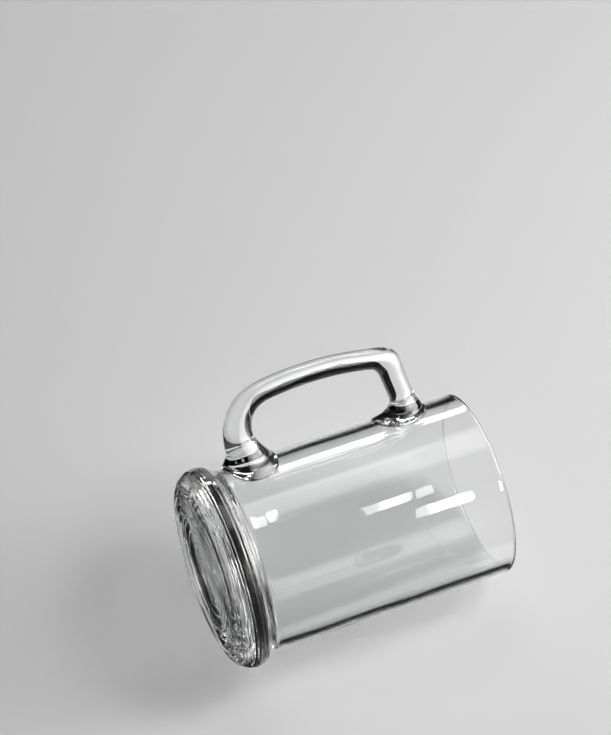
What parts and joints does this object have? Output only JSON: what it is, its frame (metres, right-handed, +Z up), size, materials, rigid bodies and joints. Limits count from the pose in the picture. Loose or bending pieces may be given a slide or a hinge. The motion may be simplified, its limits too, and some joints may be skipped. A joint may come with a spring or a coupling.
{
  "type": "beer stein",
  "caption": "Clear glass beer stein with a straight cylindrical bowl, a heavy flared foot and a fused loop handle with a thumb corner, open at the top.",
  "frame": {"origin": "centre of the resting face under the foot, on the bowl's axis", "axes": "+Z up along the bowl's axis from the foot to the mouth, +X from the axis towards the handle"},
  "size_m": [0.1282, 0.0954, 0.1367],
  "materials": {
    "glass": "fire-polished clear soda-lime glass"
  },
  "bodies": {
    "root": {"foot": "glass", "bowl": "glass", "handle": "glass"}
  },
  "joints": []
}
